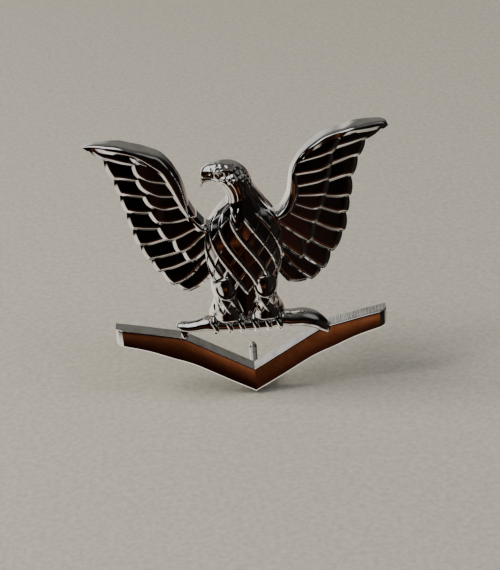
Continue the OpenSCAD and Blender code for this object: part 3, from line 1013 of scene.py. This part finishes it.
    def build(self, finishes: Finishes) -> bpy.types.Object:
        """Makes the body.

        Args:
            finishes: Shared materials.

        Returns:
            The body, which stands for its CAD node.
        """
        shell = Shell()
        self.trunk(shell)
        for x in self.leg_places:
            self.leg(shell, x)
        for x in self.claw_places:
            self.toe(shell, x)
        body = shell.build("eagle_plumage", BODY, "chrome_plate", [finishes.chrome], 60)
        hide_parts("eagle_body")
        return body


# ---- perch and chevron ----


@dataclass
class Perch:
    """Rod that the eagle grips, with swollen ends brazed to the arms of the chevron."""

    # Across, up, depth and radius along the rod
    path: list = field(default_factory=lambda: [
        (-9.95, -8.75, -1.8, 0.1), (-9.85, -8.74, -1.8, 0.4), (-9.4, -8.75, -1.85, 0.62),
        (-8.4, -8.85, -1.9, 0.76), (-7.2, -8.7, -2.0, 0.85), (-5.9, -8.35, -2.2, 0.98),
        (-4.8, -8.5, -2.3, 0.97), (-3.0, -8.7, -2.3, 0.92), (0.0, -8.8, -2.3, 0.9),
        (2.6, -8.7, -2.3, 0.95), (4.2, -8.3, -2.3, 1.05), (5.4, -8.5, -2.2, 1.12),
        (6.8, -8.6, -2.0, 1.18), (8.0, -9.0, -1.9, 1.15), (8.9, -9.6, -1.8, 1.0),
        (9.6, -10.3, -1.7, 0.85), (10.1, -11.0, -1.5, 0.6)])
    oval: float = 1.2
    # Middle and radii of the solder under each end
    solder: tuple = (((-9.0, -1.6, -10.0), (0.6, 0.7, 0.95)),
                     ((10.1, -1.3, -10.6), (0.85, 0.8, 0.45)))

    @staticmethod
    def drop(shell: Shell, centre: tuple, radii: tuple) -> None:
        """Adds a drop of solder: an ellipsoid on a grid of latitude and longitude.

        Args:
            shell: Mesh to add to.
            centre: Its middle.
            radii: Its three radii.
        """
        v = np.linspace(0.02, math.pi - 0.02, 24)[:, None]
        u = np.linspace(0, 2 * math.pi, 32, endpoint=False)[None, :]
        x, y, z = centre
        shell.tube(np.stack([
            x + radii[0] * np.sin(v) * np.cos(u), y + radii[1] * np.sin(v) * np.sin(u),
            z + POST_Z + radii[2] * np.cos(v) * np.ones_like(u)], -1))

    def build(self, finishes: Finishes) -> bpy.types.Object:
        """Makes the rod by carrying an oval along its path, and the solder under its ends.

        Args:
            finishes: Shared materials.

        Returns:
            The rod, which stands for its CAD node.
        """
        shell = Shell()
        shell.tube(hose(self.path, 260, 40, self.oval))
        for centre, radii in self.solder:
            self.drop(shell, centre, radii)
        rod = shell.build("perch_rod_brazed", BODY, "chrome_plate", [finishes.chrome])
        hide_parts("perch_rod")
        return rod


@dataclass
class Chevron:
    """V-shaped bar: crowned polished face, rounded rims, sheared walls and hipped ends."""

    top: list = field(default_factory=lambda: [
        (0.0, -16.2), (2.5, -14.68), (5.0, -13.15), (7.2, -11.8), (8.4, -11.08), (9.2, -10.65),
        (10.2, -10.36), (12.6, -9.8), (15.2, -9.2), (18.1, -8.6)])
    low: list = field(default_factory=lambda: [
        (0.0, -19.8), (3.4, -17.8), (7.3, -15.4), (9.2, -14.45), (10.8, -13.8), (14.0, -12.4),
        (18.1, -11.1)])
    top_rim: float = 0.2
    low_rim: float = 0.28
    crown: float = 0.055  # height of the crowned face over its rims
    crown_gap: float = 0.1  # by which the face's middle stays behind the box of the CAD bar
    hip: float = 0.9
    hip_drop: float = 0.45
    wall_steps: int = 6

    def build(self, finishes: Finishes) -> bpy.types.Object:
        """Makes the bar by carrying its section from end to end.

        The section is a wall, a quarter-circle rim, a face crowned by a parabola, a chamfer
        and a second wall. Near an end, the face drops in a straight hip and a chamfer.

        Args:
            finishes: Shared materials.

        Returns:
            The bar, which stands for its CAD node.
        """
        low_corner, high_corner = (np.array(c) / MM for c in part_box("chevron_bar"))
        reach, thick = high_corner[0], -low_corner[1]
        half = np.sort(np.unique(np.concatenate([
            np.linspace(0, reach, 140), reach - np.linspace(0, self.hip + 0.2, 30)])))
        x = np.concatenate([-half[:0:-1], half])
        lines = []
        for rail in (self.top, self.low):
            dense = smooth_line(raised(rail), 300)
            dense[:, 0] *= reach / dense[-1, 0]
            lines.append(np.interp(np.abs(x), dense[:, 0], dense[:, 1])[:, None])
        top, low = lines
        q = np.concatenate([near_edge(0.5, 22, 0.06), 1 - near_edge(0.5, 22, 0.06)[-2::-1]])
        q = q[None, :]
        height = top - low
        end = (reach - np.abs(x))[:, None]
        down = 0.6 * self.top_rim * (1 - round_over(q * height, self.top_rim))
        for edge in ((1 - q) * height, end):
            down = down + self.low_rim * (1 - chamfer(edge / self.low_rim))
        down = down + self.hip_drop * np.clip(1 - end / self.hip, 0, 1)
        depth = thick - self.crown_gap - self.crown * (2 * q - 1) ** 2 - down
        z = top + (low - top) * q
        front = np.stack([np.broadcast_to(x[:, None], z.shape), -depth, z], -1)
        steps = np.linspace(1, 0, self.wall_steps + 1)[1:]
        across = np.repeat(x[:, None], self.wall_steps, 1)
        under = np.stack([across, front[:, -1:, 1] * steps, low + 0 * across], -1)
        over = np.stack([across, front[:, :1, 1] * steps[::-1], top + 0 * across], -1)
        rings = np.concatenate([front, under, over], 1)
        slots = np.zeros(rings.shape[1], int)
        slots[front.shape[1]:] = 1
        shell = Shell()
        shell.tube(rings, slots)
        bar = shell.build("chevron_bar_crowned", BODY, "chrome_plate",
                          [finishes.chrome, finishes.edge], 30)
        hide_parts("chevron_bar")
        return bar


# ---- posts and clutch ----


@dataclass
class Fastening:
    """The two posts on the back, and the spring clutch on the upper one.

    The CAD solids keep their shape here, because they fit one another, and take a finish.
    """

    wires: tuple[str, ...] = ("lower_post", "upper_post")
    pressings: tuple[str, ...] = ("clutch_base", "clutch_hub", "left_ear", "right_ear")

    def build(self, finishes: Finishes) -> None:
        """Dresses the CAD nodes of the posts and the clutch.

        Args:
            finishes: Shared materials.
        """
        dress = ([(node, finishes.steel) for node in self.wires]
                 + [(node, finishes.brass) for node in self.pressings])
        for node, material in dress:
            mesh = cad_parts[node].data
            mesh.materials.clear()
            mesh.materials.append(material)
            log.info("%s: CAD node in %s", node, material.name)


# ---- studio ----


@dataclass(frozen=True)
class Lobe:
    """Soft-edged patch of the room: where it lies, its two rims in degrees and its light."""

    direction: tuple[float, float, float]
    outer: float
    inner: float
    colour: str
    gain: float = 1.0

    def over(self, tree: bpy.types.NodeTree, place: bpy.types.NodeSocket,
             under: bpy.types.NodeSocket) -> bpy.types.NodeSocket:
        """Lays the lobe over a colour.

        Args:
            tree: Node tree of the world.
            place: Output socket with the direction.
            under: Output socket with the colour below.

        Returns:
            Output socket with the new colour.
        """
        unit = np.array(self.direction) / np.linalg.norm(self.direction)
        toward = add_node(tree, "ShaderNodeVectorMath", settings={"operation": "DOT_PRODUCT"},
                          inputs={1: unit.tolist()}, links={0: place})
        share = add_node(tree, "ShaderNodeMapRange",
                         settings={"interpolation_type": "SMOOTHSTEP"},
                         inputs={"From Min": math.cos(math.radians(self.outer)),
                                 "From Max": math.cos(math.radians(self.inner))},
                         links={"Value": toward.outputs["Value"]})
        mix = add_node(tree, "ShaderNodeMix", settings={"data_type": "RGBA"},
                       links={"Factor": share.outputs["Result"], "A": under})
        r, g, b, _ = linear(self.colour)
        mix.inputs["B"].default_value = (r * self.gain, g * self.gain, b * self.gain, 1.0)
        return mix.outputs["Result"]


@dataclass(frozen=True)
class Panel:
    """Soft panel that faces the object, with its lengths in millimetres and its watts."""

    name: str
    place: tuple[float, float, float]
    size: tuple[float, float]
    power: float
    colour: str

    def hang(self, target: tuple) -> None:
        """Hangs the panel, unseen by the chrome, which mirrors the painted room instead.

        Args:
            target: Place that it faces, in millimetres.
        """
        data = bpy.data.lights.new(self.name, "AREA")
        data.shape = "RECTANGLE"
        data.size, data.size_y = self.size[0] * MM, self.size[1] * MM
        data.energy = self.power
        data.color = linear(self.colour)[:3]
        lamp = bpy.data.objects.new(self.name, data)
        bpy.context.scene.collection.objects.link(lamp)
        lamp.location = [c * MM for c in self.place]
        aim = np.array(target) - np.array(self.place)
        lamp.rotation_euler = Vector(aim).to_track_quat("-Z", "Y").to_euler()
        lamp.visible_glossy = False


@dataclass
class Studio:
    """Camera, pale floor, soft lights and the surroundings that the chrome mirrors."""

    elevation: float = 28.0
    roll: float = 4.4
    distance: float = 240.0
    lens: float = 115.88
    target: tuple[float, float, float] = (0.0, -2.2, POST_Z)
    shift: tuple[float, float] = (0.0057, -0.0368)
    floor_colours: tuple[str, str] = ("#8E8B80", "#A3A094")
    floor_gap: float = 0.4  # millimetres below the lowest point
    floor_half_width: float = 1.5  # metres
    floor_grain: float = 1400.0  # grains to the metre
    # Colour of the room by height of the direction
    room: tuple = (
        (-1.0, "#EFE6D8"), (-0.95, "#D8CEC0"), (-0.88, "#1A0F0A"), (-0.64, "#28120B"),
        (-0.56, "#3C1C10"), (-0.50, "#5F321E"), (-0.455, "#7A4428"), (-0.42, "#8A5032"),
        (-0.36, "#5A2D1E"), (-0.30, "#3E201A"), (-0.22, "#24130F"), (-0.12, "#120D0B"),
        (0.3, "#121110"), (0.6, "#2E2D2B"), (1.0, "#5A5856"))
    left_dimming: float = 0.34
    lobes: tuple[Lobe, ...] = (
        Lobe((0.55, -0.7, -0.45), 34, 14, "#15100E"),  # dark table edge, front right
        Lobe((0.88, -0.1, -0.46), 42, 26, "#24201D"),  # dark table edge, right
        Lobe((0.0, 0.88, 0.47), 50, 20, "#7C7A76"),  # wall behind
        Lobe((-0.42, 0.88, 0.22), 26, 12, "#E4E2DE"),  # bright card behind, left
        Lobe((0.4, 0.5, -0.77), 44, 20, "#ADA498"),  # table behind, right
        Lobe((-0.45, 0.55, -0.7), 52, 32, "#F8F0E2", 1.4),  # lit table behind, left
        Lobe((-0.76, -0.1, -0.65), 32, 18, "#F4ECDE", 1.2),  # lit table, left
        Lobe((-0.55, -0.35, 0.76), 36, 26, "#FFFFFF", 1.4),  # lamp, upper left
        Lobe((0.7, -0.3, 0.6), 30, 14, "#8A8A88"))  # dim lamp, upper right
    panels: tuple[Panel, ...] = (
        Panel("key_panel", (-380, -60, 420), (300, 220), 5.0, "#FFF8EE"),
        Panel("fill_panel", (300, -200, 480), (300, 300), 1.5, "#F6F6FF"))

    def camera(self) -> None:
        """Places the camera on its line of sight through the target."""
        data = bpy.data.cameras.new("camera")
        data.lens = self.lens
        data.sensor_width = 36
        data.shift_x, data.shift_y = self.shift
        data.clip_start, data.clip_end = 0.01, 20
        camera = bpy.data.objects.new("camera", data)
        bpy.context.scene.collection.objects.link(camera)
        e = math.radians(self.elevation)
        x, y, z = self.target
        camera.location = (x * MM, (y - self.distance * math.cos(e)) * MM,
                           (z + self.distance * math.sin(e)) * MM)
        camera.rotation_euler = (math.pi / 2 - e, 0, 0)
        camera.rotation_euler.rotate_axis("Z", math.radians(-self.roll))
        bpy.context.scene.camera = camera

    def floor(self) -> None:
        """Lays a pale table top with a fine grain, just under the object."""
        low = CAD_BOUNDS[0]
        size = self.floor_half_width
        mesh = bpy.data.meshes.new("table_top")
        z = low[2] - self.floor_gap * MM
        mesh.from_pydata([(-size, -size, z), (size, -size, z), (size, size, z),
                          (-size, size, z)], [], [(0, 1, 2, 3)])
        table = bpy.data.objects.new("table_top", mesh)
        bpy.context.scene.collection.objects.link(table)
        material = bpy.data.materials.new("painted_table")
        material.use_nodes = True
        tree = material.node_tree
        shader = tree.nodes["Principled BSDF"]
        place = add_node(tree, "ShaderNodeTexCoord")
        grain = add_node(tree, "ShaderNodeTexNoise",
                         inputs={"Scale": self.floor_grain, "Detail": 3.0},
                         links={"Vector": place.outputs["Object"]})
        ramp = add_node(tree, "ShaderNodeValToRGB", links={"Fac": grain.outputs["Fac"]})
        ramp.color_ramp.elements[0].position = 0.25
        ramp.color_ramp.elements[0].color = linear(self.floor_colours[0])
        ramp.color_ramp.elements[1].position = 0.75
        ramp.color_ramp.elements[1].color = linear(self.floor_colours[1])
        tree.links.new(ramp.outputs["Color"], shader.inputs["Base Color"])
        shader.inputs["Roughness"].default_value = 0.6
        mesh.materials.append(material)
        table.visible_glossy = False

    def surroundings(self) -> None:
        """Paints the room by direction, which is what the chrome mirrors.

        A ramp over the height is dark brown low in front, with a warm band under the horizon
        that is dimmer on the left. Each lobe is laid over it, by a smooth step of the cosine
        of the angle from the middle of the lobe.
        """
        world = bpy.data.worlds.new("room")
        bpy.context.scene.world = world
        world.use_nodes = True
        tree = world.node_tree
        place = add_node(tree, "ShaderNodeTexCoord")
        parts = add_node(tree, "ShaderNodeSeparateXYZ",
                         links={"Vector": place.outputs["Generated"]})
        half = add_node(tree, "ShaderNodeMapRange", inputs={"From Min": -1.0, "From Max": 1.0},
                        links={"Value": parts.outputs["Z"]})
        base = add_node(tree, "ShaderNodeValToRGB", links={"Fac": half.outputs["Result"]})
        ramp = base.color_ramp
        for element, (z, code) in zip(ramp.elements, (self.room[0], self.room[-1])):
            element.position, element.color = (z + 1) / 2, linear(code)
        for z, code in self.room[1:-1]:
            ramp.elements.new((z + 1) / 2).color = linear(code)
        across = add_node(tree, "ShaderNodeMapRange",
                          inputs={"From Min": -0.03, "From Max": 0.05, "To Min": self.left_dimming,
                                  "To Max": 1.1},
                          links={"Value": parts.outputs["X"]})
        colour = add_node(tree, "ShaderNodeVectorMath", settings={"operation": "SCALE"},
                          links={0: base.outputs["Color"], "Scale": across.outputs["Result"]}
                          ).outputs["Vector"]
        for lobe in self.lobes:
            colour = lobe.over(tree, place.outputs["Generated"], colour)
        tree.links.new(colour, tree.nodes["Background"].inputs["Color"])
        tree.nodes["Background"].inputs["Strength"].default_value = 1.0

    def build(self) -> None:
        """Sets up the whole studio."""
        self.camera()
        self.floor()
        self.surroundings()
        for panel in self.panels:
            panel.hang(self.target)


def main() -> None:
    """Builds the studio and every piece of the ornament."""
    logging.basicConfig(level=logging.INFO, format="%(message)s")
    Studio().build()
    finishes = Finishes()
    for wing in (left_wing(), right_wing()):
        wing.build(finishes)
    EagleBody().build(finishes)
    Perch().build(finishes)
    Chevron().build(finishes)
    Fastening().build(finishes)


if __name__ == "__main__":
    main()
